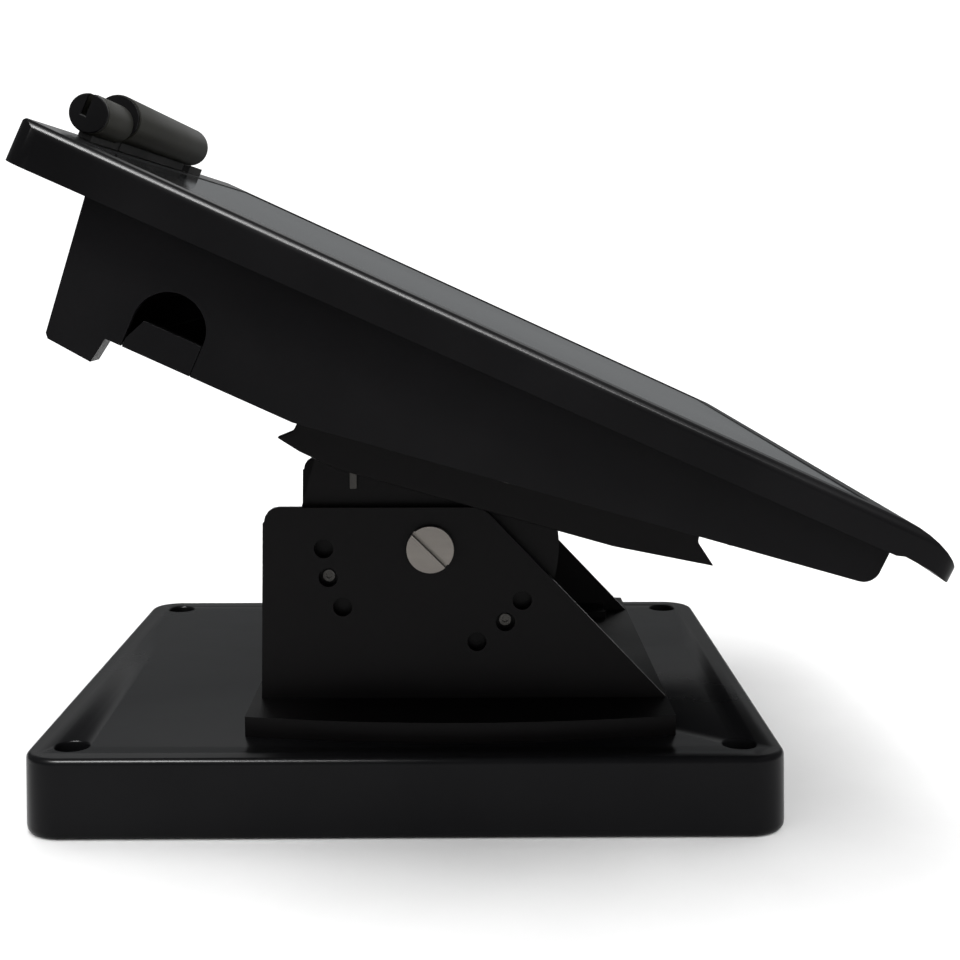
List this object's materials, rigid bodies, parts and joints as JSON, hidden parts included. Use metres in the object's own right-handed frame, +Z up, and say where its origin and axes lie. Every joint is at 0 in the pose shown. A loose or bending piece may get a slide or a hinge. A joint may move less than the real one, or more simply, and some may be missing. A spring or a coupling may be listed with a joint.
{
  "type": "pos touchscreen terminal",
  "caption": "Sloping touchscreen terminal with a swipe reader on a friction-tilt bracket and a flat weighted counter base.",
  "frame": {"origin": "centre of the base's underside on the counter", "axes": "+Z up, -Y towards the operator, +X to the operator's right"},
  "size_m": [0.35, 0.2823, 0.2369],
  "materials": {
    "gloss_shell": "polished black moulding",
    "satin_shell": "fine satin black moulding",
    "black_steel": "dull black powder coat",
    "reader_plastic": "dark grey-green satin moulding",
    "plate_steel": "zinc plate under thin paint",
    "ballast": "as cast",
    "foot_rubber": "matt rubber",
    "screw_steel": "plain turned steel",
    "black_screw": "blackened steel",
    "bronze": "sintered bronze",
    "touch_glass": "clear glass over a dark screen",
    "gasket_foam": "closed-cell foam",
    "panel_metal": "plain sheet",
    "board_green": "solder mask on laminate",
    "connector_metal": "tinned steel",
    "connector_plastic": "moulded black",
    "cell_metal": "plain steel",
    "lens_clear": "frosted lens"
  },
  "bodies": {
    "base": {"base_cover": "gloss_shell", "base_bottom_plate": "plate_steel", "base_weight": "ballast", "base_feet": "foot_rubber", "base_plate_screws": "screw_steel", "stand_platform": "black_steel", "platform_bolts": "black_screw", "left_cheek": "black_steel", "right_cheek": "black_steel", "cheek_screws": "black_screw", "pivot_bolts": "screw_steel", "pivot_washers": "screw_steel", "pivot_nuts": "screw_steel"},
    "head": {"tilt_saddle": "black_steel", "left_arm": "black_steel", "right_arm": "black_steel", "stop_tabs": "black_screw", "pivot_bushes": "bronze", "lock_screws": "black_screw", "arm_screws": "black_screw", "saddle_screws": "black_screw", "rear_housing": "satin_shell", "front_bezel": "satin_shell", "touch_glass": "touch_glass", "touch_gasket": "gasket_foam", "lcd_panel": "panel_metal", "panel_chassis": "panel_metal", "chassis_screws": "screw_steel", "mainboard": "board_green", "board_standoffs": "bronze", "heat_sink": "panel_metal", "memory_module": "board_green", "coin_cell": "cell_metal", "solid_state_drive": "panel_metal", "power_board": "board_green", "touch_controller": "board_green", "speakers": "connector_plastic", "serial_ports": "connector_metal", "usb_ports": "connector_metal", "lan_port": "connector_metal", "dc_inlet": "connector_plastic", "drawer_port": "connector_plastic", "housing_screws": "black_screw", "power_switch": "connector_metal", "reader_barrel": "reader_plastic", "reader_guide": "reader_plastic", "reader_ring": "satin_shell", "reader_end_cap": "satin_shell", "reader_board": "board_green", "reader_lens": "lens_clear", "reader_bracket": "gasket_foam", "reader_screws": "black_screw"},
    "io_cover": {"io_cover": "satin_shell"},
    "power_button": {"power_button": "satin_shell"}
  },
  "joints": [
    {"name": "head_tilt", "type": "hinge", "parent": "base", "child": "head", "pos_m": [0, -0.0075, 0.0875], "axis": [1, 0, 0], "range_deg": [-18, 18]},
    {"name": "cover_pull", "type": "slide", "parent": "head", "child": "io_cover", "axis": [0, 0.4147, -0.91], "range_m": [0, 0.025]},
    {"name": "button_press", "type": "slide", "parent": "head", "child": "power_button", "axis": [-1, 0, 0], "range_m": [0, 0.0012], "stiffness_N_per_m": 600}
  ]
}
